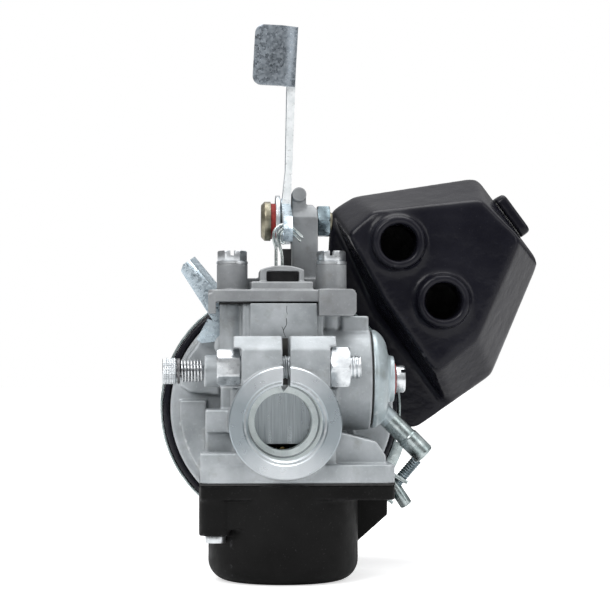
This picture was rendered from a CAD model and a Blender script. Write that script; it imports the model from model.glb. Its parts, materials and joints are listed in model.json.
import json
import math

import bmesh
import bpy
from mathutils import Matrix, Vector


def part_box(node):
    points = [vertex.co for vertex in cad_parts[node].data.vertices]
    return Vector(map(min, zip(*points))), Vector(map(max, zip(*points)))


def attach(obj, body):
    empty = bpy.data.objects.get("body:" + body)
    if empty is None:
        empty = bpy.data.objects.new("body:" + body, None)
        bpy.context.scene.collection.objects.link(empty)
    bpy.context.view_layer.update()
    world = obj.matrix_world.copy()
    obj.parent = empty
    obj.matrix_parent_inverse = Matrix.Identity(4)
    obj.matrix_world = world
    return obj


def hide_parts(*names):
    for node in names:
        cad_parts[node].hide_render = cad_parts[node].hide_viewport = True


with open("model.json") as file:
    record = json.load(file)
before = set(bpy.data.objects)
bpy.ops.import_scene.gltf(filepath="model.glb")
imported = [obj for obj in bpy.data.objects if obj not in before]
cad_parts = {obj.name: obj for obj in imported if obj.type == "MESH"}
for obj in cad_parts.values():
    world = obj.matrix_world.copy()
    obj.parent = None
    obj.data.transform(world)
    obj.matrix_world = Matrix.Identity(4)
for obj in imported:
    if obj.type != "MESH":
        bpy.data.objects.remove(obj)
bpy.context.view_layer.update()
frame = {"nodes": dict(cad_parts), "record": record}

MM = 0.001
SLOT_OF = {entry["node"]: entry["material_slot"] for entry in frame["record"]["subparts"]}
BODIES = frame["record"]["behaviour"]["bodies"]
BODY_OF = {node: body for body, nodes in BODIES.items() for node in nodes}

WHITE = (1, 1, 1, 1)
CREASE_ANGLE = math.radians(35)
PLASTIC_IOR = 1.32
# brightness of the studio from straight below (0) to straight above (1), for all but camera rays
STUDIO_STOPS = ((0.0, 0.75), (0.40, 0.55), (0.49, 0.20), (0.58, 0.22), (0.72, 0.75), (1.0, 1.3))
STUDIO_STRENGTH = 0.75
FLOOR_SIDE = 3.0
FLOOR_GLOW = 0.6
# name, place and target in metres, size in metres, power in watts
LAMPS = (("key", (-0.40, -0.60, 0.62), (0.01, 0.02, 0.03), (0.42, 0.42), 3.4),
         ("fill", (0.55, -0.35, 0.30), (0.02, 0.03, 0.02), (0.25, 0.5), 0.7),
         ("top", (0.05, 0.15, 0.8), (0.02, 0.04, 0.02), (0.7, 0.6), 3.4))

# places on the object, in millimetres
IDLE_Y, IDLE_Z = 25.0, 12.9
CLAMP_Y, CLAMP_Z = 6.5, 14.0
BOLT_HEAD_X = -11.3
SLOT_LEFT, SLOT_RIGHT, SLOT_FLOOR = -0.65, 1.25, 8.0
CHAMBER_FRONT_Y = 15.16
NIPPLE_TIP, NIPPLE_INWARD = Vector((37.9, 26, -9.3)), Vector((-1, 0, 1)).normalized()


# ---------------------------------------------------------------- camera, floor, light
def add_camera():
    data = bpy.data.cameras.new("camera")
    data.lens = 118
    data.sensor_width = 36
    camera = bpy.data.objects.new("camera", data)
    camera.location = Vector((-20, -500, 17)) * MM
    aim = Vector((4.9, 0, 29.6)) * MM - camera.location
    camera.rotation_euler = aim.to_track_quat("-Z", "Y").to_euler()
    bpy.context.collection.objects.link(camera)
    bpy.context.scene.camera = camera


def add_area(name, place, target, size, power):
    data = bpy.data.lights.new(name, "AREA")
    data.shape = "RECTANGLE"
    data.size, data.size_y = size
    data.energy = power
    lamp = bpy.data.objects.new(name, data)
    lamp.location = place
    lamp.rotation_euler = (Vector(target) - Vector(place)).to_track_quat("-Z", "Y").to_euler()
    bpy.context.collection.objects.link(lamp)


def add_world():
    """White to the camera, and a studio with a dark horizon to everything it lights."""
    world = bpy.data.worlds.new("studio")
    world.use_nodes = True
    tree = world.node_tree
    tree.nodes.clear()
    coord = tree.nodes.new("ShaderNodeTexCoord")
    axes = tree.nodes.new("ShaderNodeSeparateXYZ")
    ramp = tree.nodes.new("ShaderNodeValToRGB")
    glow = tree.nodes.new("ShaderNodeBackground")
    plain = tree.nodes.new("ShaderNodeBackground")
    rays = tree.nodes.new("ShaderNodeLightPath")
    choose = tree.nodes.new("ShaderNodeMixShader")
    out = tree.nodes.new("ShaderNodeOutputWorld")
    tree.links.new(coord.outputs["Generated"], axes.inputs[0])
    half = tree.nodes.new("ShaderNodeMapRange")
    half.inputs["From Min"].default_value = -1
    tree.links.new(axes.outputs["Z"], half.inputs["Value"])
    tree.links.new(half.outputs[0], ramp.inputs[0])
    while len(ramp.color_ramp.elements) < len(STUDIO_STOPS):
        ramp.color_ramp.elements.new(0.5)
    for element, (place, value) in zip(ramp.color_ramp.elements, STUDIO_STOPS):
        element.position = place
        element.color = (value, value, value * 1.01, 1)
    tree.links.new(ramp.outputs[0], glow.inputs["Color"])
    glow.inputs["Strength"].default_value = STUDIO_STRENGTH
    plain.inputs["Color"].default_value = WHITE
    plain.inputs["Strength"].default_value = 1.0
    tree.links.new(rays.outputs["Is Camera Ray"], choose.inputs[0])
    tree.links.new(glow.outputs[0], choose.inputs[1])
    tree.links.new(plain.outputs[0], choose.inputs[2])
    tree.links.new(choose.outputs[0], out.inputs["Surface"])
    bpy.context.scene.world = world


def add_stage():
    """White floor under the bowl, three soft boxes and a wide weak sun."""
    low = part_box("float_bowl")[0].z
    mesh = bpy.data.meshes.new("floor")
    corners = ((-1, -1), (1, -1), (1, 1), (-1, 1))
    mesh.from_pydata([(x * FLOOR_SIDE, y * FLOOR_SIDE, low) for x, y in corners], [], [(0, 1, 2, 3)])
    floor = bpy.data.objects.new("floor", mesh)
    bpy.context.collection.objects.link(floor)
    paint = bpy.data.materials.new("floor_paint")
    paint.use_nodes = True
    tree = paint.node_tree
    shader = tree.nodes["Principled BSDF"]
    shader.inputs["Base Color"].default_value = (0.9, 0.9, 0.9, 1)
    shader.inputs["Roughness"].default_value = 0.8
    shader.inputs["Specular IOR Level"].default_value = 0.1
    shader.inputs["Emission Color"].default_value = WHITE
    rays = tree.nodes.new("ShaderNodeLightPath")
    level = tree.nodes.new("ShaderNodeMath")
    level.operation = "MULTIPLY"
    level.inputs[1].default_value = FLOOR_GLOW
    tree.links.new(rays.outputs["Is Camera Ray"], level.inputs[0])
    tree.links.new(level.outputs[0], shader.inputs["Emission Strength"])
    mesh.materials.append(paint)
    for lamp in LAMPS:
        add_area(*lamp)
    sun = bpy.data.lights.new("sky", "SUN")
    sun.energy = 0.35
    sun.angle = math.radians(70)
    sky = bpy.data.objects.new("sky", sun)
    sky.rotation_euler = (math.radians(12), 0, 0)
    bpy.context.collection.objects.link(sky)
    bpy.context.scene.view_settings.view_transform = "Standard"


# ---------------------------------------------------------------- materials
class Surface:
    """A principled material built up from procedural layers, all in the object's own space."""

    def __init__(self, name, metallic=0.0):
        self.material = bpy.data.materials.new(name)
        self.material.use_nodes = True
        self.tree = self.material.node_tree
        self.shader = self.tree.nodes["Principled BSDF"]
        self.shader.inputs["Metallic"].default_value = metallic
        self.coord = self.tree.nodes.new("ShaderNodeTexCoord").outputs["Object"]
        self.normal = None

    def node(self, kind, **inputs):
        made = self.tree.nodes.new(kind)
        for key, value in inputs.items():
            socket = made.inputs[key.replace("_", " ")]
            if isinstance(value, bpy.types.NodeSocket):
                self.tree.links.new(value, socket)
            else:
                socket.default_value = value
        return made

    def stretched(self, scale):
        mapping = self.tree.nodes.new("ShaderNodeMapping")
        mapping.inputs["Scale"].default_value = scale
        self.tree.links.new(self.coord, mapping.inputs["Vector"])
        return mapping.outputs[0]

    def noise(self, size_mm, detail=3.0, roughness=0.55, vector=None):
        made = self.node("ShaderNodeTexNoise", Scale=1 / (size_mm * MM), Detail=detail, Roughness=roughness)
        self.tree.links.new(vector or self.coord, made.inputs["Vector"])
        return made.outputs["Fac"]

    def cells(self, size_mm, output="Color"):
        made = self.node("ShaderNodeTexVoronoi", Scale=1 / (size_mm * MM))
        self.tree.links.new(self.coord, made.inputs["Vector"])
        return made.outputs[output]

    def remap(self, value, low, high, to_low=0.0, to_high=1.0):
        made = self.node("ShaderNodeMapRange", Value=value)
        made.inputs["From Min"].default_value = low
        made.inputs["From Max"].default_value = high
        made.inputs["To Min"].default_value = to_low
        made.inputs["To Max"].default_value = to_high
        return made.outputs[0]

    def math(self, operation, a, b=0.0):
        made = self.tree.nodes.new("ShaderNodeMath")
        made.operation = operation
        for socket, value in zip(made.inputs, (a, b)):
            if isinstance(value, bpy.types.NodeSocket):
                self.tree.links.new(value, socket)
            else:
                socket.default_value = value
        return made.outputs[0]

    def mix(self, fac, a, b):
        made = self.tree.nodes.new("ShaderNodeMix")
        made.data_type = "RGBA"
        for key, value in (("Factor", fac), ("A", a), ("B", b)):
            socket = next(s for s in made.inputs if s.name == key and (s.type == "RGBA" or key == "Factor"))
            if isinstance(value, bpy.types.NodeSocket):
                self.tree.links.new(value, socket)
            elif key == "Factor":
                socket.default_value = value
            else:
                socket.default_value = (*value, 1)
        return next(s for s in made.outputs if s.type == "RGBA")

    def speckle(self, size_mm, detail, low, high, strength):
        """Scattered spots of one size, from 0 up to the strength."""
        return self.math("MULTIPLY", self.remap(self.noise(size_mm, detail), low, high), strength)

    def pointiness(self):
        return self.tree.nodes.new("ShaderNodeNewGeometry").outputs["Pointiness"]

    def edges(self, low=0.52, high=0.62):
        """White on convex edges."""
        return self.remap(self.pointiness(), low, high)

    def hollows(self):
        """White in creases."""
        return self.remap(self.pointiness(), 0.49, 0.42)

    def bump(self, height, strength, depth_mm):
        made = self.node("ShaderNodeBump", Height=height, Strength=strength, Distance=depth_mm * MM)
        if self.normal:
            self.tree.links.new(self.normal, made.inputs["Normal"])
        self.normal = made.outputs[0]

    def finish(self, colour, roughness):
        self.tree.links.new(colour, self.shader.inputs["Base Color"])
        self.tree.links.new(roughness, self.shader.inputs["Roughness"])
        if self.normal:
            self.tree.links.new(self.normal, self.shader.inputs["Normal"])
        return self.material


def cast_alloy(name, dark, light, grain_mm=0.35, roughness=(0.38, 0.55)):
    """Die casting: soft blotches, sandy grain, small pits, rubbed edges, grime in the creases."""
    s = Surface(name, metallic=0.45)
    colour = s.mix(s.remap(s.noise(9, 4), 0.35, 0.65), dark, light)
    colour = s.mix(s.speckle(0.9, 2, 0.60, 0.72, 0.25), colour, [c * 1.25 for c in light])
    stain = s.math("MULTIPLY", s.remap(s.noise(5, 5, 0.65), 0.56, 0.70), 0.35)
    colour = s.mix(stain, colour, [dark[0] * 0.72, dark[1] * 0.66, dark[2] * 0.56])
    colour = s.mix(s.math("MULTIPLY", s.hollows(), 0.6), colour, (0.10, 0.095, 0.085))
    colour = s.mix(s.math("MULTIPLY", s.edges(), 0.35), colour, (0.78, 0.79, 0.80))
    s.bump(s.noise(grain_mm, 3, 0.6), 0.45, 0.06)
    s.bump(s.remap(s.cells(1.4, "Distance"), 0.05, 0.16), 0.3, 0.06)
    s.bump(s.noise(4, 2), 0.3, 0.25)
    rough = s.remap(s.noise(2.2, 4), 0.3, 0.7, *roughness)
    return s.finish(colour, rough)


def plated_steel(name, dark, light, roughness=(0.14, 0.30), metallic=1.0):
    """Plated fastener: fine grain, cloudy gloss and small dull spots."""
    s = Surface(name, metallic)
    colour = s.mix(s.remap(s.noise(2.5, 3), 0.35, 0.65), dark, light)
    colour = s.mix(s.speckle(0.7, 3, 0.60, 0.72, 0.4), colour, [c * 0.55 for c in dark])
    s.bump(s.noise(0.3, 2, 0.5), 0.04, 0.015)
    rough = s.remap(s.noise(0.9, 4), 0.3, 0.7, *roughness)
    return s.finish(colour, rough)


def galvanised_sheet(name, dark, light):
    """Zinc sheet: fine mottled crystals with small bright and dark specks."""
    s = Surface(name, metallic=0.9)
    spangle = s.node("ShaderNodeSeparateColor", Color=s.cells(0.55)).outputs[0]
    colour = s.mix(s.remap(s.math("ADD", spangle, s.noise(1.3, 4)), 0.5, 1.5), dark, light)
    colour = s.mix(s.speckle(0.5, 2, 0.66, 0.74, 0.35), colour, (0.85, 0.88, 0.90))
    colour = s.mix(s.speckle(0.8, 3, 0.62, 0.72, 0.15), colour, [c * 0.6 for c in dark])
    s.bump(s.noise(0.45, 3), 0.35, 0.05)
    rough = s.remap(s.math("ADD", spangle, s.noise(0.8, 3)), 0.5, 1.4, 0.24, 0.42)
    return s.finish(colour, rough)


def moulded_plastic(name, dark, light, roughness, ripple=0.2, grain=0.2, gloss=0.4):
    """Black moulding: faint texture, sink ripples, specks of dust and scuffed edges."""
    s = Surface(name)
    colour = s.mix(s.remap(s.noise(14, 4), 0.35, 0.65), dark, light)
    scuff = s.math("MULTIPLY", s.edges(0.52, 0.60), s.remap(s.noise(1.2, 4, 0.7), 0.42, 0.62))
    colour = s.mix(s.math("MULTIPLY", scuff, 0.3), colour, (0.14, 0.14, 0.15))
    colour = s.mix(s.speckle(0.5, 2, 0.66, 0.74, 0.06), colour, (0.30, 0.30, 0.30))
    s.bump(s.noise(0.28, 3, 0.6), grain, 0.03)
    s.bump(s.noise(6, 3), ripple, 0.5)
    rough = s.remap(s.noise(3.0, 5, 0.65), 0.3, 0.7, *roughness)
    s.shader.inputs["Specular IOR Level"].default_value = gloss
    s.shader.inputs["IOR"].default_value = PLASTIC_IOR
    return s.finish(colour, rough)


def soft_matter(name, dark, light, size_mm, roughness=(0.6, 0.85), depth=0.08):
    """Rubber, fibre, paper, nylon and foam: grain of one size with mottled colour."""
    s = Surface(name)
    colour = s.mix(s.remap(s.noise(size_mm * 4, 4), 0.3, 0.7), dark, light)
    s.bump(s.noise(size_mm, 4, 0.6), 0.5, depth)
    rough = s.remap(s.noise(size_mm * 2, 3), 0.3, 0.7, *roughness)
    return s.finish(colour, rough)


def machined_slide(name):
    """Upright milling marks on the slide's face."""
    s = Surface(name, metallic=0.95)
    marks = s.noise(0.22, 4, 0.7, s.stretched((1, 1, 0.02)))
    colour = s.mix(s.remap(marks, 0.3, 0.7), (0.27, 0.30, 0.32), (0.46, 0.50, 0.52))
    s.bump(marks, 0.35, 0.05)
    rough = s.remap(s.noise(1.5, 3, 0.5, s.stretched((1, 1, 0.1))), 0.3, 0.7, 0.24, 0.40)
    return s.finish(colour, rough)


def turned_face(name):
    """Lathe-turned socket face: fine rings about the socket axis, with the two bright wedges
    that turning marks show above and below the axis."""
    s = Surface(name, metallic=0.95)
    flat = s.stretched((1, 0, 1))
    radius = s.node("ShaderNodeVectorMath", Vector=flat)
    radius.operation = "LENGTH"
    rings = s.node("ShaderNodeCombineXYZ", X=radius.outputs["Value"]).outputs[0]
    lines = s.noise(0.11, 3, 0.7, rings)
    height = s.node("ShaderNodeSeparateXYZ", Vector=flat).outputs["Z"]
    rise = s.math("DIVIDE", height, radius.outputs["Value"])
    upright = s.math("MULTIPLY", rise, rise)
    unevenness = s.math("MULTIPLY", s.noise(3.0, 3), 0.3)
    wedge = s.remap(s.math("ADD", upright, unevenness), 0.3, 1.2)
    colour = s.mix(wedge, (0.36, 0.41, 0.44), (0.84, 0.88, 0.91))
    colour = s.mix(s.math("MULTIPLY", s.remap(lines, 0.35, 0.65), 0.3), colour, (0.30, 0.33, 0.35))
    s.bump(lines, 0.25, 0.03)
    rough = s.remap(s.noise(2.4, 3), 0.3, 0.7, 0.26, 0.36)
    return s.finish(colour, rough)


PAINT = {
    "cast_zinc": cast_alloy("cast_zinc", (0.31, 0.335, 0.35), (0.47, 0.50, 0.52)),
    "machined_slide": machined_slide("machined_slide"),
    "zinc_steel": plated_steel("zinc_steel", (0.58, 0.61, 0.63), (0.78, 0.81, 0.83), (0.26, 0.38)),
    "spring_steel": plated_steel("spring_steel", (0.55, 0.56, 0.57), (0.80, 0.82, 0.83)),
    "wire_steel": plated_steel("wire_steel", (0.45, 0.50, 0.49), (0.74, 0.79, 0.78)),
    "galvanised": galvanised_sheet("galvanised", (0.44, 0.53, 0.59), (0.62, 0.71, 0.77)),
    "olive_steel": plated_steel("olive_steel", (0.20, 0.18, 0.13), (0.36, 0.34, 0.26), (0.28, 0.44)),
    "dark_steel": plated_steel("dark_steel", (0.10, 0.10, 0.10), (0.22, 0.22, 0.23), (0.35, 0.5)),
    "cap_zinc": cast_alloy("cap_zinc", (0.36, 0.42, 0.44), (0.53, 0.61, 0.64), 0.5, (0.28, 0.42)),
    "red_fibre": soft_matter("red_fibre", (0.20, 0.012, 0.010), (0.34, 0.03, 0.022), 0.3),
    "gasket_paper": soft_matter("gasket_paper", (0.012, 0.012, 0.012), (0.03, 0.03, 0.03), 0.3),
    "black_rubber": soft_matter("black_rubber", (0.010, 0.010, 0.011), (0.022, 0.022, 0.024), 0.5),
    "screen_nylon": soft_matter("screen_nylon", (0.60, 0.60, 0.54), (0.80, 0.80, 0.74), 0.4),
    "bowl_plastic": moulded_plastic("bowl_plastic", (0.004, 0.004, 0.004), (0.008, 0.008, 0.008),
                                    (0.40, 0.55), gloss=0.22),
    "float_plastic": soft_matter("float_plastic", (0.68, 0.66, 0.58), (0.82, 0.80, 0.72), 0.6,
                                 (0.4, 0.55)),
    "brass": plated_steel("brass", (0.50, 0.34, 0.12), (0.78, 0.60, 0.28), (0.2, 0.36)),
    "box_plastic": moulded_plastic("box_plastic", (0.006, 0.006, 0.010), (0.011, 0.011, 0.016),
                                   (0.14, 0.25), ripple=0.5, grain=0.45, gloss=0.38),
    "foam": soft_matter("foam", (0.02, 0.02, 0.02), (0.06, 0.06, 0.06), 0.9, (0.9, 1.0), 0.5),
}
TURNED = turned_face("turned_face")
BORED = plated_steel("bored_wall", (0.72, 0.77, 0.77), (0.84, 0.88, 0.88), (0.30, 0.42), metallic=0.2)
COVER_ALLOY = cast_alloy("cover_alloy", (0.22, 0.23, 0.24), (0.31, 0.325, 0.335))
PAD_SHEET = galvanised_sheet("pad_sheet", (0.19, 0.22, 0.25), (0.30, 0.335, 0.37))
SHEARED = plated_steel("sheared_edge", (0.76, 0.80, 0.81), (0.92, 0.95, 0.96), (0.25, 0.4), metallic=0.3)
DULL_ZINC = plated_steel("dull_zinc", (0.13, 0.17, 0.19), (0.24, 0.30, 0.33), (0.18, 0.3))
CLAMP_ZINC = plated_steel("clamp_zinc", (0.30, 0.36, 0.36), (0.52, 0.58, 0.58), (0.22, 0.36))
GRIME = soft_matter("grime", (0.02, 0.02, 0.02), (0.05, 0.05, 0.045), 0.3)


# ---------------------------------------------------------------- mesh tools
def repaint(piece, paint):
    """Gives the piece one material in place of what it has."""
    piece.data.materials.clear()
    piece.data.materials.append(paint)


def adopt(piece, node):
    """The piece stands for a CAD node: same body and same slot."""
    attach(piece, BODY_OF[node])
    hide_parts(node)


def bake_modifiers(piece):
    """Turns the piece's modifiers into plain mesh."""
    graph = bpy.context.evaluated_depsgraph_get()
    mesh = bpy.data.meshes.new_from_object(piece.evaluated_get(graph))
    piece.modifiers.clear()
    piece.data = mesh


def copy_of(node, name):
    """A new object with the node's mesh, welded, in the node's paint."""
    mesh = frame["nodes"][node].data.copy()
    work = bmesh.new()
    work.from_mesh(mesh)
    bmesh.ops.remove_doubles(work, verts=work.verts, dist=0.002 * MM)
    work.to_mesh(mesh)
    work.free()
    piece = bpy.data.objects.new(name, mesh)
    bpy.context.collection.objects.link(piece)
    repaint(piece, PAINT[SLOT_OF[node]])
    return piece


def cast_skin(node, voxel_mm, passes, most_faces):
    """The node's shape with the soft fillets of a casting or moulding."""
    piece = copy_of(node, node + "_skin")
    remesh = piece.modifiers.new("remesh", "REMESH")
    remesh.mode = "VOXEL"
    remesh.voxel_size = voxel_mm * MM
    smooth = piece.modifiers.new("smooth", "SMOOTH")
    smooth.factor = 0.5
    smooth.iterations = passes
    bake_modifiers(piece)
    piece.data.calc_loop_triangles()
    count = len(piece.data.loop_triangles)
    if count > most_faces:
        thin = piece.modifiers.new("thin", "DECIMATE")
        thin.ratio = most_faces / count
        bake_modifiers(piece)
    for face in piece.data.polygons:
        face.use_smooth = True
    repaint(piece, PAINT[SLOT_OF[node]])
    adopt(piece, node)
    return piece


def round_edges(piece, width_mm, segments=2):
    bevel = piece.modifiers.new("bevel", "BEVEL")
    bevel.width = width_mm * MM
    bevel.segments = segments
    bevel.limit_method = "ANGLE"
    bevel.angle_limit = CREASE_ANGLE
    bevel.harden_normals = True
    for face in piece.data.polygons:
        face.use_smooth = True
    bake_modifiers(piece)


def bevelled(node, width_mm, segments=2):
    """The node's shape with small rounded edges."""
    piece = copy_of(node, node + "_skin")
    round_edges(piece, width_mm, segments)
    adopt(piece, node)
    return piece


def kept_side(node, place, outward, name):
    """The part of a CAD node on one side of a plane, with rounded edges."""
    piece = copy_of(node, name)
    work = bmesh.new()
    work.from_mesh(piece.data)
    bmesh.ops.bisect_plane(work, geom=work.verts[:] + work.edges[:] + work.faces[:],
                           plane_co=Vector(place) * MM, plane_no=outward, clear_outer=True)
    bmesh.ops.holes_fill(work, edges=[e for e in work.edges if e.is_boundary])
    work.to_mesh(piece.data)
    work.free()
    round_edges(piece, 0.15)
    adopt(piece, node)
    return piece


def piece_from(work, name, paint, slot, body, *nodes, smooth=True):
    """Object made from a bmesh drawn in millimetres."""
    bmesh.ops.scale(work, vec=(MM, MM, MM), verts=work.verts)
    bmesh.ops.recalc_face_normals(work, faces=work.faces)
    mesh = bpy.data.meshes.new(name)
    work.to_mesh(mesh)
    work.free()
    for face in mesh.polygons:
        face.use_smooth = smooth
    mesh.materials.append(paint)
    piece = bpy.data.objects.new(name, mesh)
    bpy.context.collection.objects.link(piece)
    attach(piece, body)
    if nodes:
        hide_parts(*nodes)
    return piece


def for_node(work, name, node):
    """Object made from a bmesh drawn in millimetres, in place of a CAD node."""
    return piece_from(work, name, PAINT[SLOT_OF[node]], SLOT_OF[node], BODY_OF[node], node)


def skin_rings(work, rings, closed=True, caps=True):
    """Bridges rings of points, each ring with the same number of points."""
    rows = [[work.verts.new(point) for point in ring] for ring in rings]
    count = len(rows[0])
    for low, high in zip(rows, rows[1:]):
        for i in range(count if closed else count - 1):
            j = (i + 1) % count
            work.faces.new((low[i], low[j], high[j], high[i]))
    if caps:
        work.faces.new(rows[0][::-1])
        work.faces.new(rows[-1])


def smooth_path(points, steps=6):
    """Catmull-Rom curve through the points."""
    points = [Vector(p) for p in points]
    padded = [2 * points[0] - points[1]] + points + [2 * points[-1] - points[-2]]
    path = []
    for a, b, c, d in zip(padded, padded[1:], padded[2:], padded[3:]):
        for step in range(steps):
            t = step / steps
            path.append(0.5 * (2 * b + (c - a) * t + (2 * a - 5 * b + 4 * c - d) * t ** 2
                               + (3 * b - a - 3 * c + d) * t ** 3))
    return path + [points[-1]]


def wire(work, points, radius, sides=14):
    """Round wire through the points."""
    path = smooth_path(points)
    rings = []
    side = None
    for i, point in enumerate(path):
        along = (path[min(i + 1, len(path) - 1)] - path[max(i - 1, 0)]).normalized()
        if side is None:
            side = along.orthogonal().normalized()
        side = (side - along * side.dot(along)).normalized()
        other = along.cross(side)
        rings.append([point + radius * (math.cos(a) * side + math.sin(a) * other)
                      for a in (2 * math.pi * k / sides for k in range(sides))])
    skin_rings(work, rings)


def threaded_rod(work, start, along, length, radius, pitch, sides=36, steps=8):
    """Rod with a helical vee thread and bevelled ends."""
    depth = pitch * 0.32
    along = Vector(along).normalized()
    side = along.orthogonal().normalized()
    other = along.cross(side)
    rings = []
    rows = int(length / pitch * steps)
    for i in range(rows + 1):
        travel = length * i / rows
        shrink = max(0.0, 1 - min(travel, length - travel) / (0.7 * depth)) * depth
        ring = []
        for k in range(sides):
            phase = (travel / pitch - k / sides) % 1.0
            reach = radius - max(shrink, depth * abs(2 * phase - 1))
            turn = 2 * math.pi * k / sides
            outward = math.cos(turn) * side + math.sin(turn) * other
            ring.append(Vector(start) + along * travel + reach * outward)
        rings.append(ring)
    skin_rings(work, rings)


def sharpen(piece, angle):
    """Smooth shading that stays crisp over sharp edges."""
    work = bmesh.new()
    work.from_mesh(piece.data)
    for edge in work.edges:
        edge.smooth = edge.calc_face_angle(0) < math.radians(angle)
    work.to_mesh(piece.data)
    work.free()


# ---------------------------------------------------------------- turned socket
def machined_socket():
    """Turned mouth, chamfer, socket wall and throttle bore, open at the clamp slot."""
    rim = ((14.2, 1.2), (14.2, -0.9), (13.9, -1.2), (10.75, -1.2), (9.4, 0.05))
    bore = ((9.38, 13.2), (9.2, 13.35), (7.55, 13.35), (7.4, 13.5), (7.4, 20.2))
    steps = 128
    work = bmesh.new()
    rings = []
    for radius, y in rim + bore:
        if radius > SLOT_FLOOR:
            start = math.pi / 2 + math.asin(-SLOT_LEFT / radius)
            end = math.pi / 2 - math.asin(SLOT_RIGHT / radius) + 2 * math.pi
        else:
            start, end = math.pi / 2, math.pi / 2 + 2 * math.pi
        rings.append([Vector((radius * math.cos(a), y, radius * math.sin(a)))
                      for a in (start + (end - start) * k / steps for k in range(steps + 1))])
    skin_rings(work, rings, closed=False, caps=False)
    piece = piece_from(work, "machined_socket", TURNED, "cast_zinc", "root")
    piece.data.materials.append(BORED)
    rim_faces = (len(rim) - 1) * steps
    for face in piece.data.polygons:
        if face.index >= rim_faces:
            face.material_index = 1
    sharpen(piece, 25)


# ---------------------------------------------------------------- fasteners and wires
def knurled_screw():
    """Idle screw: a head with a diamond knurl and rounded rims on a threaded shank."""
    outer_end, inner_end = -31.2, -27.6
    rim, crossing, teeth = 0.35, 7.5, 26
    work = bmesh.new()
    rings = []
    rows, sides = 28, 144
    for i in range(rows + 1):
        x = outer_end + (inner_end - outer_end) * i / rows
        edge = min(x - outer_end, inner_end - x)
        ring = []
        for k in range(sides):
            turn = 2 * math.pi * k / sides
            ridge = math.sin(teeth * turn + crossing * x) * math.sin(teeth * turn - crossing * x)
            reach = 3.36 + 0.13 * ridge - max(0.0, rim - edge) * 0.8
            ring.append(Vector((x, IDLE_Y + reach * math.cos(turn), IDLE_Z + reach * math.sin(turn))))
        rings.append(ring)
    skin_rings(work, rings)
    threaded_rod(work, (inner_end - 0.1, IDLE_Y, IDLE_Z), (1, 0, 0), 20.4, radius=2.0, pitch=0.8)
    sharpen(for_node(work, "idle_screw_detail", "idle_screw"), 50)


def threaded_shanks():
    """The clamp bolt's threaded shank, and a thread round the band screw's plain shank."""
    work = bmesh.new()
    threaded_rod(work, (BOLT_HEAD_X - 0.1, CLAMP_Y, CLAMP_Z), (1, 0, 0), 30.8, radius=3.0, pitch=1.0)
    for_node(work, "clamp_bolt_thread", "clamp_bolt")
    work = bmesh.new()
    threaded_rod(work, (28.8, 50.8, -22.7), (0.656, 0, 0.755), 14.6, radius=1.55, pitch=0.7)
    piece_from(work, "band_screw_thread", DULL_ZINC, SLOT_OF["band_screw"], "root")


def link_wire():
    """Doubled wire: two strands hooked through the lever's slot, with the inner hairpin."""
    front, back, thick, thin = 24.6, 25.4, 0.42, 0.3
    work = bmesh.new()
    outer = ((5.6, 47.9), (2.9, 50.4), (1.7, 51.1), (0.6, 51.3), (-0.8, 50.9), (-1.9, 49.6),
             (-2.2, 48.1), (-1.9, 46.6), (-1.5, 45.0), (-1.5, 42.5), (-1.5, 30.0), (-1.5, 10.0),
             (-1.5, -4.0))
    inner = ((5.1, 47.0), (2.9, 49.2), (1.7, 50.0), (0.6, 50.3), (-0.3, 49.8), (-1.0, 48.5),
             (-0.9, 47.0), (-0.4, 45.4), (0.1, 43.4), (0.2, 40.0), (0.2, 30.0), (0.2, 10.0),
             (0.2, -4.0))
    hairpin = ((0.9, 49.4), (0.9, 47.8), (0.5, 46.4), (-0.1, 46.9), (-0.2, 48.5), (0.3, 49.7))
    wire(work, [(x, front, z) for x, z in outer], thick)
    wire(work, [(x, back, z) for x, z in inner], thick)
    wire(work, [(x, front - 0.1, z) for x, z in hairpin], thin)
    for_node(work, "link_wire_detail", "throttle_link")


def casting_seam():
    """Thin flash line that runs up the chamber from the clamp slot."""
    low_stretch = ((0.6, 21.8), (0.1, 23.4), (0.9, 25.0), (0.8, 26.6))
    high_stretch = ((1.1, 27.6), (0.9, 28.6), (1.0, 29.8))
    branch = ((0.1, 23.4), (-0.3, 24.4))
    work = bmesh.new()
    for stretch, radius in ((low_stretch, 0.07), (high_stretch, 0.05), (branch, 0.05)):
        wire(work, [(x, CHAMBER_FRONT_Y, z) for x, z in stretch], radius, 8)
    piece_from(work, "casting_seam", GRIME, "cast_zinc", "root")


def slot_grime():
    """Oily dirt packed at the back of the clamp slot."""
    size, centre = (1.8, 0.3, 12.0), ((SLOT_LEFT + SLOT_RIGHT) / 2, 13.9, 15.4)
    work = bmesh.new()
    bmesh.ops.create_cube(work, size=1)
    bmesh.ops.scale(work, vec=size, verts=work.verts)
    bmesh.ops.translate(work, vec=centre, verts=work.verts)
    piece_from(work, "slot_grime", GRIME, "cast_zinc", "root", smooth=False)


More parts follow.
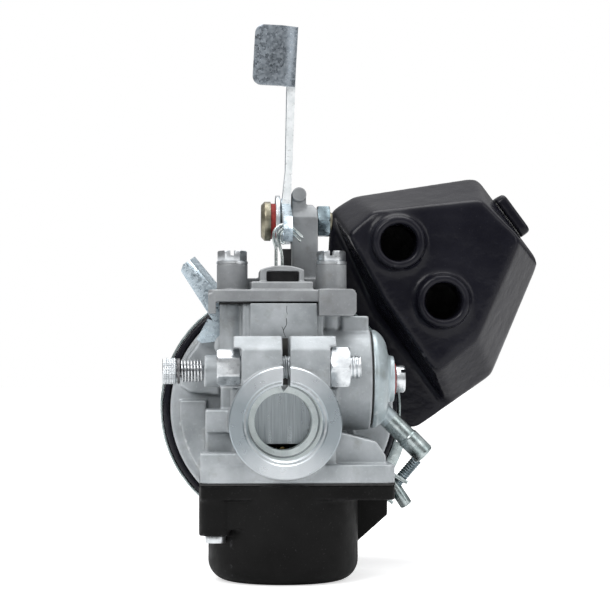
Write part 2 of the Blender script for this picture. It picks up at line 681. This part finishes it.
def paint_lever(piece):
    """The pad's sheet is duller than the arm, and the bar shows its bright sheared edge."""
    pad_low, pad_back, bar_low = 89.0, 34.3, 56.0
    piece.data.materials.append(PAD_SHEET)
    piece.data.materials.append(SHEARED)
    for face in piece.data.polygons:
        height = face.center.z / MM
        faces_front = face.normal.y < -0.6
        if height > pad_low and face.center.y < pad_back * MM:
            face.material_index = 1
        elif height > bar_low and faces_front:
            face.material_index = 2


def paint_nipple(piece):
    """The hose nipple is a duller zinc than the cap it is pressed into."""
    length, radius = 13.0, 3.3
    piece.data.materials.append(CLAMP_ZINC)
    for face in piece.data.polygons:
        reach = face.center / MM - NIPPLE_TIP
        inward = reach.dot(NIPPLE_INWARD)
        if inward < length and (reach - inward * NIPPLE_INWARD).length < radius:
            face.material_index = 1


# ---------------------------------------------------------------- the object
add_camera()
add_world()
add_stage()

for node, piece in frame["nodes"].items():
    repaint(piece, PAINT[SLOT_OF[node]])

cast_skin("carburetor_body", voxel_mm=0.38, passes=2, most_faces=190000)
repaint(cast_skin("mixing_chamber_cover", voxel_mm=0.26, passes=2, most_faces=150000), COVER_ALLOY)
paint_nipple(cast_skin("fuel_inlet_cap", voxel_mm=0.22, passes=2, most_faces=80000))
cast_skin("float_bowl", voxel_mm=0.35, passes=2, most_faces=120000)
cast_skin("filter_box_front", voxel_mm=0.5, passes=44, most_faces=150000)
cast_skin("filter_box_back", voxel_mm=0.6, passes=12, most_faces=120000)
cast_skin("filter_box_latch", voxel_mm=0.35, passes=14, most_faces=20000)
paint_lever(bevelled("throttle_lever", 0.3, 3))
bevelled("choke_lever", 0.3, 3)
repaint(bevelled("pivot_nut", 0.15), DULL_ZINC)
for node in ("clamp_nut", "cover_screws", "fuel_cap_screw", "bowl_screws", "lever_pivot_bolt", "band_screw"):
    bevelled(node, 0.15)
for node in ("collar_band", "band_nut"):
    repaint(bevelled(node, 0.15), CLAMP_ZINC)
kept_side("clamp_bolt", (BOLT_HEAD_X, 0, 0), (1, 0, 0), "clamp_bolt_head")
threaded_shanks()
knurled_screw()
link_wire()
casting_seam()
slot_grime()
machined_socket()
